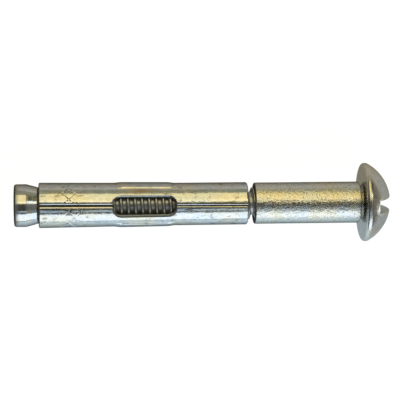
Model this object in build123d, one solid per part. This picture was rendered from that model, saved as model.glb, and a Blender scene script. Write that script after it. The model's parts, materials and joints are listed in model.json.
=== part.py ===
from build123d import *
import math
import os

# Sleeve anchor for a quarter-inch hole, in millimetres.
# It lies on the floor as it comes to rest: on the rim of its head and on the
# mouth of its split sleeve, with the head towards +X and the seam upwards.
# Each piece is first made along its own axis: the face of the cone nut stands
# at zero, and the distance from that face is called the station.

# Bolt: slotted round-head screw, No. 10 with 24 threads to the inch.
thread_major_dia = 4.80
bolt_end_chamfer = 0.5
head_dia = 11.9
head_height = 4.3
head_land = 0.7
head_edge_round = 0.4
head_dome_round = 0.8
head_fillet = 0.75
slot_width = 1.85
slot_depth = 2.35
slot_turn = 4.5

# Cone nut: threaded expander at the tip.
nut_dia = 6.4
nut_rim_length = 1.82
nut_neck_length = 1.88
nut_recess = 0.5
nut_cone_angle = 15.0
nut_neck_wall = 0.2
nut_edge_round = 0.2
nut_bore_chamfer = 0.25
thread_clearance = 0.05

# Expansion sleeve: rolled sheet, split along its seam.
sleeve_dia = 6.4
sleeve_sheet = 0.62
sleeve_length = 31.5
mouth_dia = 6.8
mouth_edge_round = 0.12
sleeve_end_round = 0.3
cone_clearance = 0.03
seam_gap = 0.2
seam_lip_round = 0.3
window_length = 9.45
window_from_mouth = 11.2
window_half_angle = 30.4
window_corner_round = 1.15

# Raised pads on both sides of the window.
pad_height = 0.1
pad_length = 9.0
pad_ramp = 0.9
pad_from_seam = 54.0
pad_arc = 70.0

# Spacer sleeve: plain tube between the expansion sleeve and the head.
spacer_dia = 6.25
spacer_wall = 0.6
spacer_length = 16.0
spacer_edge_round = 0.12
sleeve_to_spacer = 1.0
spacer_to_head = 0.5

# Cuts run this far past what they cut.
overrun = 0.1

# Radii that follow from the sizes above.
bolt_radius = thread_major_dia / 2
head_radius = head_dia / 2
nut_radius = nut_dia / 2
nut_bore_radius = bolt_radius + thread_clearance
nut_neck_radius = nut_bore_radius + nut_neck_wall
sleeve_radius = sleeve_dia / 2
mouth_radius = mouth_dia / 2
mouth_bore_radius = mouth_radius - sleeve_sheet
spacer_radius = spacer_dia / 2
spacer_bore_radius = spacer_radius - spacer_wall

# Stations along the axis, counted from the face of the cone nut. The sleeve
# stands where its mouth clears the cone, and the bolt reaches from the head
# through both sleeves into the nut.
cone_slope = math.tan(math.radians(nut_cone_angle))
cone_radius_at_mouth = mouth_bore_radius - cone_clearance
cone_end = nut_rim_length + (nut_radius - nut_neck_radius) / cone_slope
nut_end = cone_end + nut_neck_length
sleeve_start = nut_rim_length + (nut_radius - cone_radius_at_mouth) / cone_slope
sleeve_end = sleeve_start + sleeve_length
window_start = sleeve_start + window_from_mouth
window_end = window_start + window_length
flare_end = window_end
spacer_start = sleeve_end + sleeve_to_spacer
spacer_end = spacer_start + spacer_length
bearing_face = spacer_end + spacer_to_head
bolt_end = nut_recess


def corner(profile, station, radius):
    """The corner of a profile at a given station and distance from the axis."""
    return profile.vertices().sort_by_distance((station, radius, 0))[0]


def turned(profile):
    """A profile turned all the way about the axis, begun and ended on the side that lies on the floor."""
    return Rot(X=-90) * revolve(profile, Axis.X)


def sector(profile, start, arc):
    """A profile turned about the axis through an arc that begins at an angle from the seam."""
    return Rot(X=start) * revolve(profile, Axis.X, arc)


def sleeve_radius_at(station):
    """Outer radius of the sleeve before its pads, at a station."""
    along = max(0, flare_end - station) / (flare_end - sleeve_start)
    return sleeve_radius + along * (mouth_radius - sleeve_radius)


def make_bolt():
    """Screw with a domed, slotted head and a plain shank at the thread's major diameter."""
    dome_rise = head_height - head_land
    dome_radius = (head_radius**2 + dome_rise**2) / (2 * dome_rise)
    dome_centre = bearing_face + head_height - dome_radius
    half_angle = math.asin(head_radius / dome_radius) / 2
    dome_middle = (dome_centre + dome_radius * math.cos(half_angle), dome_radius * math.sin(half_angle))
    apex = (bearing_face + head_height, 0)
    rim = (bearing_face + head_land, head_radius)
    outline = Polyline(
        apex,
        (bolt_end, 0),
        (bolt_end, bolt_radius),
        (bearing_face, bolt_radius),
        (bearing_face, head_radius),
        rim,
    )
    profile = make_face(outline + ThreePointArc(rim, dome_middle, apex))
    profile = fillet(corner(profile, bearing_face, bolt_radius), head_fillet)
    profile = fillet(corner(profile, bearing_face, head_radius), head_edge_round)
    profile = fillet(corner(profile, *rim), head_dome_round)
    profile = chamfer(corner(profile, bolt_end, bolt_radius), bolt_end_chamfer)
    blank = turned(profile)
    slot_length = head_dia + 2 * overrun
    slot = Box(slot_depth + overrun, slot_length, slot_width, align=(Align.MIN, Align.CENTER, Align.CENTER))
    slot_floor = bearing_face + head_height - slot_depth
    return blank - Pos(X=slot_floor) * Rot(X=90 + slot_turn) * slot


def make_cone_nut():
    """Expander: a short cylinder, a cone that enters the sleeve, and a neck inside it."""
    outline = Polyline(
        (0, nut_bore_radius),
        (0, nut_radius),
        (nut_rim_length, nut_radius),
        (cone_end, nut_neck_radius),
        (nut_end, nut_neck_radius),
        (nut_end, nut_bore_radius),
        close=True,
    )
    profile = make_face(outline)
    profile = fillet(corner(profile, 0, nut_radius), nut_edge_round)
    profile = fillet(corner(profile, nut_rim_length, nut_radius), nut_edge_round)
    profile = chamfer(corner(profile, 0, nut_bore_radius), nut_bore_chamfer)
    return turned(profile)


def make_sleeve_tube():
    """The rolled tube, with its flare towards the mouth and rounded ends."""
    outline = Polyline(
        (sleeve_start, mouth_radius),
        (flare_end, sleeve_radius),
        (sleeve_end, sleeve_radius),
        (sleeve_end, sleeve_radius - sleeve_sheet),
        (flare_end, sleeve_radius - sleeve_sheet),
        (sleeve_start, mouth_bore_radius),
        close=True,
    )
    profile = make_face(outline)
    profile = fillet(corner(profile, sleeve_start, mouth_radius), mouth_edge_round)
    profile = fillet(corner(profile, sleeve_end, sleeve_radius), sleeve_end_round)
    return revolve(profile, Axis.X)


def make_pad():
    """One raised pad: it follows the flare and slopes down to the sleeve at both ends."""
    middle = (window_start + window_end) / 2
    start = middle - pad_length / 2
    end = middle + pad_length / 2
    top_start = start + pad_ramp
    top_end = end - pad_ramp
    outline = Polyline(
        (start, sleeve_radius_at(start)),
        (top_start, sleeve_radius_at(top_start) + pad_height),
        (top_end, sleeve_radius_at(top_end) + pad_height),
        (end, sleeve_radius_at(end)),
        (end, sleeve_radius_at(end) - sleeve_sheet / 2),
        (start, sleeve_radius_at(start) - sleeve_sheet / 2),
        close=True,
    )
    return sector(make_face(outline), pad_from_seam, pad_arc)


def make_window():
    """What the window takes out of the tube: radial walls and rounded corners."""
    inner = sleeve_radius - sleeve_sheet - overrun
    outer = mouth_radius + pad_height + overrun
    outline = Polyline(
        (window_start, inner),
        (window_end, inner),
        (window_end, outer),
        (window_start, outer),
        close=True,
    )
    block = sector(make_face(outline), -window_half_angle, 2 * window_half_angle)
    corners = block.edges().filter_by(GeomType.LINE).filter_by(Axis.X, reverse=True)
    return fillet(corners, window_corner_round)


def is_seam_lip(edge):
    """True for the long outer edges on both sides of the seam."""
    middle = edge.center()
    beside_seam = abs(middle.Z) < seam_gap
    outside = middle.Y > sleeve_radius - sleeve_sheet / 2
    return beside_seam and outside and edge.length > sleeve_sheet


def make_expansion_sleeve():
    """The split sleeve, turned so that its seam faces upwards."""
    pad = make_pad()
    tube = make_sleeve_tube() + pad + mirror(pad, Plane.XY)
    seam_height = mouth_radius + overrun
    seam = Box(sleeve_length + 2 * overrun, seam_height, seam_gap, align=(Align.MIN, Align.MIN, Align.CENTER))
    split = tube - Pos(X=sleeve_start - overrun) * seam
    lips = split.edges().filter_by(is_seam_lip)
    return Rot(X=90) * (fillet(lips, seam_lip_round) - make_window())


def make_spacer_sleeve():
    """Plain tube with rounded ends."""
    outline = Polyline(
        (spacer_start, spacer_bore_radius),
        (spacer_end, spacer_bore_radius),
        (spacer_end, spacer_radius),
        (spacer_start, spacer_radius),
        close=True,
    )
    profile = make_face(outline)
    profile = fillet(profile.vertices(), spacer_edge_round)
    return turned(profile)


def rest_placement(pieces):
    """Tilts the axis until head and mouth both touch the floor, and centres the anchor over the origin."""
    head_contact = bearing_face + head_edge_round
    mouth_contact = sleeve_start + mouth_edge_round
    tilt = math.degrees(math.atan2(head_radius - mouth_radius, head_contact - mouth_contact))
    tilted = Compound(children=[Rot(Y=-tilt) * piece for piece in pieces.values()])
    box = tilted.bounding_box()
    return Pos(-box.center().X, -box.center().Y, -box.min.Z) * Rot(Y=-tilt)


def make_anchor():
    """Every piece by name, where it lies at rest."""
    pieces = {
        "bolt": make_bolt(),
        "cone_nut": make_cone_nut(),
        "expansion_sleeve": make_expansion_sleeve(),
        "spacer_sleeve": make_spacer_sleeve(),
    }
    placement = rest_placement(pieces)
    return {name: placement * piece for name, piece in pieces.items()}


os.makedirs("parts", exist_ok=True)
for node, shape in make_anchor().items():
    export_step(shape, f"parts/{node}.step")
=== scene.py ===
import json
import math

import bmesh
import bpy
import numpy as np
from bpy.props import FloatProperty, FloatVectorProperty, IntProperty, PointerProperty
from mathutils import Matrix, Vector
from mathutils.geometry import delaunay_2d_cdt


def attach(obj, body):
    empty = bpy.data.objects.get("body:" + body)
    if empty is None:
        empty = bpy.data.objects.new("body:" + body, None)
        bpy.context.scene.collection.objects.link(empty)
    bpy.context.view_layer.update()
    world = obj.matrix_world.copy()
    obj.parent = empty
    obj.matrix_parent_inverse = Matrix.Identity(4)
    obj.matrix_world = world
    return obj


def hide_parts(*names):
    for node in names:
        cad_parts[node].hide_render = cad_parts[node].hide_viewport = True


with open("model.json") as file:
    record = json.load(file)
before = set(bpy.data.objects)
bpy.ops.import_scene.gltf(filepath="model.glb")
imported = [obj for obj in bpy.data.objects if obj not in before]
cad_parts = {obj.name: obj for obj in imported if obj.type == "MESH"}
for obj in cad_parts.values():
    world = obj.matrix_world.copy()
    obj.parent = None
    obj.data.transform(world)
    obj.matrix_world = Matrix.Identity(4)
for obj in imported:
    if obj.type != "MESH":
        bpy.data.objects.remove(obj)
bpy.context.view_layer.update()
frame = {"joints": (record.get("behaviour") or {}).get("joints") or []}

bl_info = {
    "name": "Sleeve Anchor",
    "version": (1, 0, 0),
    "blender": (4, 5, 0),
    "location": "3D View > Sidebar > Anchor",
    "description": "Dresses the frame of a slotted sleeve anchor in plated steel",
    "category": "Object",
}

# Every piece is made along its own axis: X runs from the face of the cone nut
# to the head, Z points away from the floor, and the seam of the sleeve lies on
# +Z. A distance along that axis is called a station. Sizes are in metres.
MM = 0.001
# Millimetres of travel in one turn: 24 threads to the inch.
PITCH = 25.4 / 24
# Points round anything turned.
SEGMENTS = 96
MERGE_DISTANCE = 1e-6
SMOOTH_ANGLE = math.radians(42)
# Runs in an arc at a rounded corner, where it matters little and where it shows.
PLAIN_ARC = 6
FINE_ARC = 8


def length(name, description, millimetres):
    """A size, given in millimetres and kept in metres."""
    return FloatProperty(
        name=name, description=description, default=millimetres * MM, unit="LENGTH", precision=5
    )


def angle(name, description, degrees):
    """An angle, given in degrees and kept in radians."""
    return FloatProperty(
        name=name, description=description, default=math.radians(degrees), unit="ROTATION"
    )


def factor(name, description, default):
    """A plain number."""
    return FloatProperty(name=name, description=description, default=default)


def colour(name, description, default):
    """A colour in linear light."""
    return FloatVectorProperty(
        name=name, description=description, default=default, size=3, min=0, max=1, subtype="COLOR"
    )


class BoltSizes(bpy.types.PropertyGroup):
    """Sizes of the slotted round-head screw"""

    tip: length("Tip", "Station of the screw's end, inside the nut", 0.5)
    bearing_face: length("Bearing Face", "Station of the underside of the head", 52.4994)
    thread_diameter: length("Thread Diameter", "Over the crests of the thread", 4.8)
    root_diameter: length("Root Diameter", "At the bottom of the thread", 3.46)
    pitch: length("Pitch", "Travel in one turn: 24 threads to the inch", PITCH)
    crest_share: factor("Crest Share", "Half the width of a crest, as a share of the pitch", 0.06)
    flank_share: factor("Flank Share", "From a crest's middle to its flank's foot, likewise", 0.32)
    run_out: length("Run-out", "Length over which the thread fades under the head", 2 * PITCH)
    thread_turn: angle("Thread Turn", "Where round the screw's end the thread begins", 120)
    tip_chamfer: length("Tip Chamfer", "Chamfer at the end of the thread", 0.5)
    head_diameter: length("Head Diameter", "Over the rim of the head", 11.9)
    head_height: length("Head Height", "From the bearing face to the top of the dome", 4.3)
    head_land: length("Head Land", "Height at which the dome would meet the rim", 0.7)
    edge_round: length("Edge Round", "Rounding between the bearing face and the rim", 0.4)
    dome_round: length("Dome Round", "Rounding between the rim and the dome", 0.8)
    fillet: length("Fillet", "Fillet under the head", 0.75)
    slot_width: length("Slot Width", "Width of the driver slot", 1.85)
    slot_depth: length("Slot Depth", "Depth of the driver slot below the dome's top", 2.35)
    slot_lip: length("Slot Lip", "Rounding of the slot's upper edges", 0.24)
    slot_turn: angle("Slot Turn", "How far the slot is turned from upright", 4.5)


class NutSizes(bpy.types.PropertyGroup):
    """Sizes of the cone nut"""

    diameter: length("Diameter", "Over the nut's rim", 6.4)
    rim_length: length("Rim Length", "Straight length next to the face", 1.82)
    cone_end: length("Cone End", "Station at which the cone meets the neck", 3.8726)
    neck_end: length("Neck End", "Station of the neck's end, inside the sleeve", 5.7526)
    neck_diameter: length("Neck Diameter", "Over the neck", 5.3)
    bore_diameter: length("Bore Diameter", "Clear of the screw's thread", 4.9)
    face_round: length("Face Round", "Rounding between the face and the rim", 0.34)
    edge_round: length("Edge Round", "Rounding between the rim and the cone", 0.2)
    bore_chamfer: length("Bore Chamfer", "Chamfer at the mouth of the bore", 0.25)


class SleeveSizes(bpy.types.PropertyGroup):
    """Sizes of the split expansion sleeve"""

    start: length("Start", "Station of the mouth", 3.66)
    end: length("End", "Station of the rear end", 34.9994)
    diameter: length("Diameter", "Over the straight part", 6.4)
    mouth_diameter: length("Mouth Diameter", "Over the flared mouth", 6.8)
    sheet: length("Sheet", "Thickness of the rolled sheet", 0.62)
    mouth_gap: length("Mouth Gap", "Width of the seam between mouth and window", 0.10)
    end_gap: length("End Gap", "Width of the seam between window and rear end", 0.09)
    mouth_drift: length("Mouth Drift", "How far the seam runs off towards +Y at the mouth", 0.215)
    end_drift: length("End Drift", "How far the seam runs off towards +Y at the rear end", -0.05)
    left_lip_round: length("Left Lip Round", "Rounding of the seam's lip on the +Y side", 0.42)
    right_lip_round: length("Right Lip Round", "Rounding of the seam's lip on the -Y side", 0.34)
    rear_lip_share: factor("Rear Lip Share", "Rounding of the lips behind the window, as a share", 0.58)
    left_window_round: length("Left Window Round", "Rounding of the window's edge on the +Y side", 0.2)
    right_window_round: length("Right Window Round", "Rounding of the window's edge on the -Y side", 0.05)
    mouth_round: length("Mouth Round", "Rounding of the mouth's edge", 0.2)
    end_round: length("End Round", "Rounding of the rear edge", 0.3)
    window_start: length("Window Start", "Station of the window's near end", 14.79)
    window_end: length("Window End", "Station of the window's far end", 24.06)
    left_half_angle: angle("Left Half Angle", "From the seam to the window's side on the +Y side", 28)
    right_half_angle: angle("Right Half Angle", "From the seam to the window's side on the -Y side", 30.4)
    window_corner: length("Window Corner", "Radius of the window's corners", 1.15)
    tongue_corner: length("Tongue Corner", "Radius where the seam opens into the window", 0.25)
    pad_height: length("Pad Height", "How far the two pads stand proud next to the seam", 0.15)
    pad_back_height: length("Pad Back Height", "How far the pads stand proud on their far sides", 0.07)
    pad_length: length("Pad Length", "Length of a pad along the sleeve", 9.0)
    pad_ramp: length("Pad Ramp", "Length of the slope at each end of a pad", 0.9)
    pad_edge: length("Pad Edge", "Width of the step along a pad's sides", 0.21)
    pad_from_seam: angle("Pad From Seam", "From the seam to a pad's near side", 54)
    pad_arc: angle("Pad Arc", "Width of a pad round the sleeve", 70)
    stain_station: length("Stain Station", "Station of the middle of the stain", 19.3)
    stain_from_seam: length("Stain From Seam", "From the seam to the stain, round towards +Y", 2.45)
    stain_length: length("Stain Length", "How far the stain reaches each way along the sleeve", 2.2)
    stain_width: length("Stain Width", "How far the stain reaches each way round the sleeve", 0.4)


class ScoreSizes(bpy.types.PropertyGroup):
    """Sizes of the crossed score lines near the mouth"""

    start: length("Start", "Station at which the lines begin", 6.2)
    end: length("End", "Station at which the lines end", 10.5)
    fade: length("Fade", "Length over which a line runs out", 1.7)
    depth: length("Depth", "Depth of a line", 0.05)
    half_width: length("Half Width", "From the middle of a line to its edge", 0.1)
    lines: IntProperty(name="Lines", description="Lines each way round", default=11, min=1)
    rising_phase: factor("Rising Phase", "Place of the rising lines, as a share of their spacing", 0.09)
    falling_phase: factor("Falling Phase", "Place of the falling lines, as a share of their spacing", 0.84)


class SpacerSizes(bpy.types.PropertyGroup):
    """Sizes of the plain spacer sleeve"""

    start: length("Start", "Station of the end towards the split sleeve", 35.9994)
    end: length("End", "Station of the end towards the head", 51.9994)
    diameter: length("Diameter", "Over the tube", 6.25)
    wall: length("Wall", "Thickness of the tube", 0.6)
    start_round: length("Start Round", "Rounding of the edge towards the split sleeve", 0.22)
    end_round: length("End Round", "Rounding of the edge towards the head", 0.13)


class PlatingColours(bpy.types.PropertyGroup):
    """Colours of the zinc plating and of what soils it"""

    zinc: colour("Zinc", "Bare plating", (0.80, 0.79, 0.77))
    straw: colour("Straw", "Yellowed patches", (0.82, 0.74, 0.52))
    blue: colour("Blue", "Blued patches", (0.66, 0.76, 0.82))
    spacer_zinc: colour("Spacer Zinc", "Bare plating of the spacer", (0.89, 0.86, 0.78))
    spacer_straw: colour("Spacer Straw", "Yellowed patches of the spacer", (0.90, 0.75, 0.40))
    speck: colour("Speck", "Fine dark specks in the plating", (0.12, 0.10, 0.06))
    # This colour is oil and dust in the threads, and also painted shade on the cut edges and rounded ends
    # that look dark.
    grime_and_shade: colour("Grime And Shade", "Oil and dust in threads and on cut edges", (0.04, 0.034, 0.02))
    raw: colour("Raw", "Bare cut face of the sheet", (0.72, 0.84, 1.0))
    stain: colour("Stain", "Brown stain beside the window", (0.50, 0.27, 0.07))


class StageSettings(bpy.types.PropertyGroup):
    """Camera, floor and lights"""

    aim: length("Aim", "Station in the middle of the picture", 27.88)
    aim_side: length("Aim Side", "How far the middle of the picture lies above the axis", 0.56)
    distance: length("Distance", "From the camera to the axis", 246)
    lens: FloatProperty(name="Lens", description="Focal length", default=146.75, unit="CAMERA")
    recede: angle("Recede", "How far the head end leans away from the camera", 4.52637)
    lean: angle("Lean", "How far the camera stands off the seam, towards +Y", 5.5)
    roll: angle("Roll", "How far the axis rises to the right", 0.6)
    light_distance: length("Light Distance", "From the axis to each light", 380)


def placement(bolt):
    """From a piece's own axis to the frame: the line of the joint that turns the screw."""
    turn = next(joint for joint in frame["joints"] if joint["name"] == "bolt_turn")
    along = Vector(turn["axis"]).normalized()
    side = Vector((0, 1, 0))
    matrix = Matrix((along, side, along.cross(side))).transposed().to_4x4()
    matrix.translation = Vector(turn["pos_m"]) - along * bolt.bearing_face
    return matrix


class Shell:
    """Points and faces of one piece, gathered part by part."""

    def __init__(self):
        self.points = []
        self.faces = []

    def add(self, points, faces):
        """Takes in one part, whose faces number its own points."""
        first = len(self.points)
        self.points.extend(tuple(point) for point in points)
        self.faces.extend([first + corner for corner in face] for face in faces)

    def mesh(self, name):
        """One closed mesh, with its doubles merged and its faces outward."""
        mesh = bpy.data.meshes.new(name)
        mesh.from_pydata(self.points, [], self.faces)
        close_mesh(mesh)
        return mesh


def close_mesh(mesh):
    """Merges doubles, drops faces that have shrunk to nothing and turns all faces outward."""
    shape = bmesh.new()
    shape.from_mesh(mesh)
    bmesh.ops.remove_doubles(shape, verts=shape.verts, dist=MERGE_DISTANCE)
    bmesh.ops.dissolve_degenerate(shape, edges=shape.edges, dist=MERGE_DISTANCE / 10)
    bmesh.ops.recalc_face_normals(shape, faces=shape.faces)
    shape.to_mesh(mesh)
    shape.free()
    mesh.shade_smooth()
    mesh.set_sharp_from_angle(angle=SMOOTH_ANGLE)


def coordinates(mesh):
    """A mesh's points as an array."""
    values = np.empty(len(mesh.vertices) * 3, np.float32)
    mesh.vertices.foreach_get("co", values)
    return values.reshape(-1, 3).astype(float)


def store(mesh, name, values):
    """Keeps one number per point, for a material or a node tree to read."""
    attribute = mesh.attributes.new(name, "FLOAT", "POINT")
    attribute.data.foreach_set("value", np.asarray(values, np.float32))


def install(mesh, name, node, body, material, matrix):
    """Puts a finished mesh in place of its CAD node."""
    mesh.transform(matrix)
    mesh.materials.clear()
    mesh.materials.append(material)
    piece = bpy.data.objects.new(name, mesh)
    bpy.context.scene.collection.objects.link(piece)
    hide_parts(node)
    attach(piece, body)


def rounded(corners, steps=PLAIN_ARC):
    """Points along a line of (x, y, rounding) corners, with an arc at each rounded one."""
    points = []
    for index, (x, y, rounding) in enumerate(corners):
        here = Vector((x, y))
        if rounding == 0:
            points.append(here)
            continue
        before = (Vector(corners[index - 1][:2]) - here).normalized()
        after = (Vector(corners[(index + 1) % len(corners)][:2]) - here).normalized()
        half = before.angle(after) / 2
        centre = here + (before + after).normalized() * (rounding / math.sin(half))
        first = here + before * (rounding / math.tan(half)) - centre
        last = here + after * (rounding / math.tan(half)) - centre
        for step in range(steps + 1):
            points.append(centre + first.lerp(last, step / steps).normalized() * rounding)
    return points


def refined(points, step):
    """The same line with no run longer than a step."""
    result = [points[0]]
    for start, end in zip(points, points[1:]):
        runs = max(1, math.ceil((end - start).length / step))
        result.extend(start.lerp(end, run / runs) for run in range(1, runs + 1))
    return result


def ring_faces(rows, count, closed=False):
    """Quads between rows of points that each go once round; closed joins the last row to the first."""
    faces = []
    for row in range(rows if closed else rows - 1):
        here = row * count
        there = (row + 1) % rows * count
        for k in range(count):
            after = (k + 1) % count
            faces.append((here + k, here + after, there + after, there + k))
    return faces


def turned(profile, closed):
    """Points and quads of a (station, radius) profile turned about the axis."""
    angles = [math.tau * k / SEGMENTS for k in range(SEGMENTS)]
    points = [(x, r * math.cos(a), r * math.sin(a)) for x, r in profile for a in angles]
    return points, ring_faces(len(profile), SEGMENTS, closed)


def turned_mesh(name, corners, longest_run):
    """A closed ring, turned from the (station, radius, rounding) corners of its section."""
    shell = Shell()
    shell.add(*turned(refined(rounded(corners), longest_run), closed=True))
    return shell.mesh(name)


# What a triangulation covers: all that its points span, or only what its edges enclose.
ALL_SPANNED, ALL_ENCLOSED = 0, 1


def triangulated(points, edges, cover):
    """Flat points joined by triangles that keep some edges: points, faces and where each point went."""
    flat = [Vector(point) for point in points]
    flat, _, faces, origin, _, _ = delaunay_2d_cdt(flat, edges, [], cover, MERGE_DISTANCE / 10, True)
    return np.array(flat), faces, {old: new for new, olds in enumerate(origin) for old in olds}


def edge_drop(distance, rounding):
    """How far a rounded edge falls away, at a distance from that edge."""
    reach = np.clip(rounding - distance, 0, rounding)
    return rounding - np.sqrt(np.maximum(rounding**2 - reach**2, 0))


def fading(distance, full, end):
    """One up to a first distance from an edge, falling to nothing at a second."""
    return np.clip((end - distance) / (end - full), 0, 1)


class Field:
    """A value that a node tree works out; arithmetic with it adds math nodes."""

    def __init__(self, nodes, socket):
        self.nodes = nodes
        self.socket = socket

    def __add__(self, other):
        return self.nodes.math("ADD", self, other)

    def __sub__(self, other):
        return self.nodes.math("SUBTRACT", self, other)

    def __rsub__(self, other):
        return self.nodes.math("SUBTRACT", other, self)

    def __mul__(self, other):
        return self.nodes.math("MULTIPLY", self, other)

    def __truediv__(self, other):
        return self.nodes.math("DIVIDE", self, other)


class Nodes:
    """Adds nodes to a tree and joins them by the names of their sockets."""

    # Where a Mix node that blends colours has its sockets.
    MIX_SHARE, MIX_FIRST, MIX_SECOND, MIX_RESULT = 0, 6, 7, 2

    def __init__(self, tree):
        self.tree = tree

    def feed(self, socket, value):
        """Links a field, a socket or a node's first output to a socket, or sets a plain value on it."""
        if isinstance(value, Field):
            value = value.socket
        elif isinstance(value, bpy.types.Node):
            value = value.outputs[0]
        if isinstance(value, bpy.types.NodeSocket):
            self.tree.links.new(value, socket)
        else:
            socket.default_value = value

    def add(self, kind, inputs=None, **settings):
        """A new node with its settings and inputs."""
        node = self.tree.nodes.new(kind)
        for key, value in settings.items():
            setattr(node, key, value)
        for key, value in (inputs or {}).items():
            self.feed(node.inputs[key], value)
        return node

    def field(self, kind, output, inputs=None, **settings):
        """One output of a new node, as a field."""
        return Field(self, self.add(kind, inputs, **settings).outputs[output])

    def split(self, vector):
        """The X, Y and Z of a vector."""
        node = self.add("ShaderNodeSeparateXYZ", {"Vector": vector})
        return [Field(self, socket) for socket in node.outputs]

    def math(self, operation, *values):
        """One operation on one or two values."""
        return self.field("ShaderNodeMath", 0, dict(enumerate(values)), operation=operation)

    def ramp(self, value, low, high, to_low=0.0, to_high=1.0, smooth=False):
        """Carries one range of a value over to another, and holds it at both ends."""
        inputs = {"Value": value, "From Min": low, "From Max": high, "To Min": to_low, "To Max": to_high}
        kind = "SMOOTHSTEP" if smooth else "LINEAR"
        return self.field("ShaderNodeMapRange", 0, inputs, interpolation_type=kind)

    def noise(self, vector, scale, detail=3.0, roughness=0.5):
        """Cloudy noise around one half."""
        inputs = {"Vector": vector, "Scale": scale, "Detail": detail, "Roughness": roughness}
        return self.field("ShaderNodeTexNoise", "Fac", inputs)

    def blend(self, share, first, second):
        """A share of the second colour over the first."""
        inputs = {self.MIX_SHARE: share, self.MIX_FIRST: first, self.MIX_SECOND: second}
        return self.field("ShaderNodeMix", self.MIX_RESULT, inputs, data_type="RGBA")


NUMBER, VECTOR, COLOUR = "NodeSocketFloat", "NodeSocketVector", "NodeSocketColor"
WHOLE, GEOMETRY, MATERIAL = "NodeSocketInt", "NodeSocketGeometry", "NodeSocketMaterial"


def new_group(name, kind, inputs, outputs):
    """A node group with sockets named by type: its nodes, its inputs as fields, its output sockets."""
    tree = bpy.data.node_groups.new(name, kind)
    for in_out, sockets in (("INPUT", inputs), ("OUTPUT", outputs)):
        for socket_type, names in sockets.items():
            for socket in names:
                tree.interface.new_socket(socket, in_out=in_out, socket_type=socket_type)
    nodes = Nodes(tree)
    given = {socket.name: Field(nodes, socket) for socket in nodes.add("NodeGroupInput").outputs}
    return nodes, given, nodes.add("NodeGroupOutput").inputs


def shared_group(name, build):
    """A node group by its name, built the first time it is asked for."""
    return bpy.data.node_groups.get(name) or build(name)


def node_mesh(start, tree, values):
    """The plain mesh that a geometry tree makes out of a starting mesh."""
    holder = bpy.data.objects.new(tree.name, start)
    bpy.context.scene.collection.objects.link(holder)
    modifier = holder.modifiers.new(tree.name, "NODES")
    modifier.node_group = tree
    for item in tree.interface.items_tree:
        if item.in_out == "INPUT" and item.name in values:
            modifier[item.identifier] = values[item.name]
    bpy.context.view_layer.update()
    graph = bpy.context.evaluated_depsgraph_get()
    mesh = bpy.data.meshes.new_from_object(
        holder.evaluated_get(graph), preserve_all_data_layers=True, depsgraph=graph
    )
    holder.modifiers.remove(modifier)
    bpy.data.objects.remove(holder)
    return mesh


def end_tree(nodes, geometry, material, result):
    """Ends a geometry tree with real geometry and its material."""
    real = nodes.add("GeometryNodeRealizeInstances", {"Geometry": geometry})
    painted = nodes.add("GeometryNodeSetMaterial", {"Geometry": real, "Material": material})
    nodes.feed(result["Geometry"], painted)


# The thread's grid begins this many turns before the screw's end and stops one
# turn past the other end. What lies past an end is folded flat into it.
SPARE_TURNS = 2
ROWS_PER_TURN = 12


def thread_tree():
    """A right-hand thread: a grid whose rows wind round the axis with the helix."""
    inputs = {
        NUMBER: [
            "Start", "End", "Pitch", "Start Turn", "Crest Radius", "Root Radius", "Tip Radius",
            "Crest Share", "Flank Share", "Run-out",
        ],
        WHOLE: ["Columns", "Turns", "Rows per Turn"],
        MATERIAL: ["Material"],
    }
    nodes, given, result = new_group("thread", "GeometryNodeTree", inputs, {GEOMETRY: ["Geometry"]})
    start, end, pitch, crest = (given[name] for name in ("Start", "End", "Pitch", "Crest Radius"))
    grid = nodes.add("GeometryNodeMeshGrid", {
        "Size X": 1.0,
        "Size Y": 1.0,
        "Vertices X": given["Columns"] + 1.0,
        "Vertices Y": given["Turns"] * given["Rows per Turn"] + 1.0,
    })
    across, upward, _ = nodes.split(nodes.add("GeometryNodeInputPosition"))
    around = across + 0.5
    climb = ((upward + 0.5) * given["Turns"] - SPARE_TURNS + around) * pitch
    station = nodes.math("MINIMUM", nodes.math("MAXIMUM", start + climb, start), end)
    phase = nodes.math("FRACT", (station - start) / pitch - (around + given["Start Turn"]))
    from_crest = 0.5 - nodes.math("ABSOLUTE", phase - 0.5)
    depth = (crest - given["Root Radius"]) * nodes.ramp(station, end - given["Run-out"], end, 1.0, 0.0)
    flank = nodes.ramp(from_crest, given["Crest Share"], given["Flank Share"], smooth=True)
    radius = nodes.math("MINIMUM", crest - depth * flank, given["Tip Radius"] + (station - start))
    turn = around * math.tau
    position = nodes.add("ShaderNodeCombineXYZ", {
        "X": station,
        "Y": radius * nodes.math("COSINE", turn),
        "Z": radius * nodes.math("SINE", turn),
    })
    wound = nodes.add("GeometryNodeSetPosition", {"Geometry": grid, "Position": position})
    joined = nodes.add("GeometryNodeMergeByDistance", {"Geometry": wound, "Distance": MERGE_DISTANCE})
    end_tree(nodes, joined, given["Material"], result)
    return nodes.tree


# What the rolled blank tells the score lines, in this order: each point's place
# along the blank, its place round it, and whether it lies on the outside.
BLANK_MARKS = ("blank_along", "blank_around", "blank_outer")
# The lines are struck unevenly: the noise's scale, the range of it that counts
# and what the lightest strike leaves of the depth.
STRIKE_SCALE = 450.0
STRIKE_RANGE = (0.35, 0.6)
LIGHTEST_STRIKE = 0.35


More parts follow.
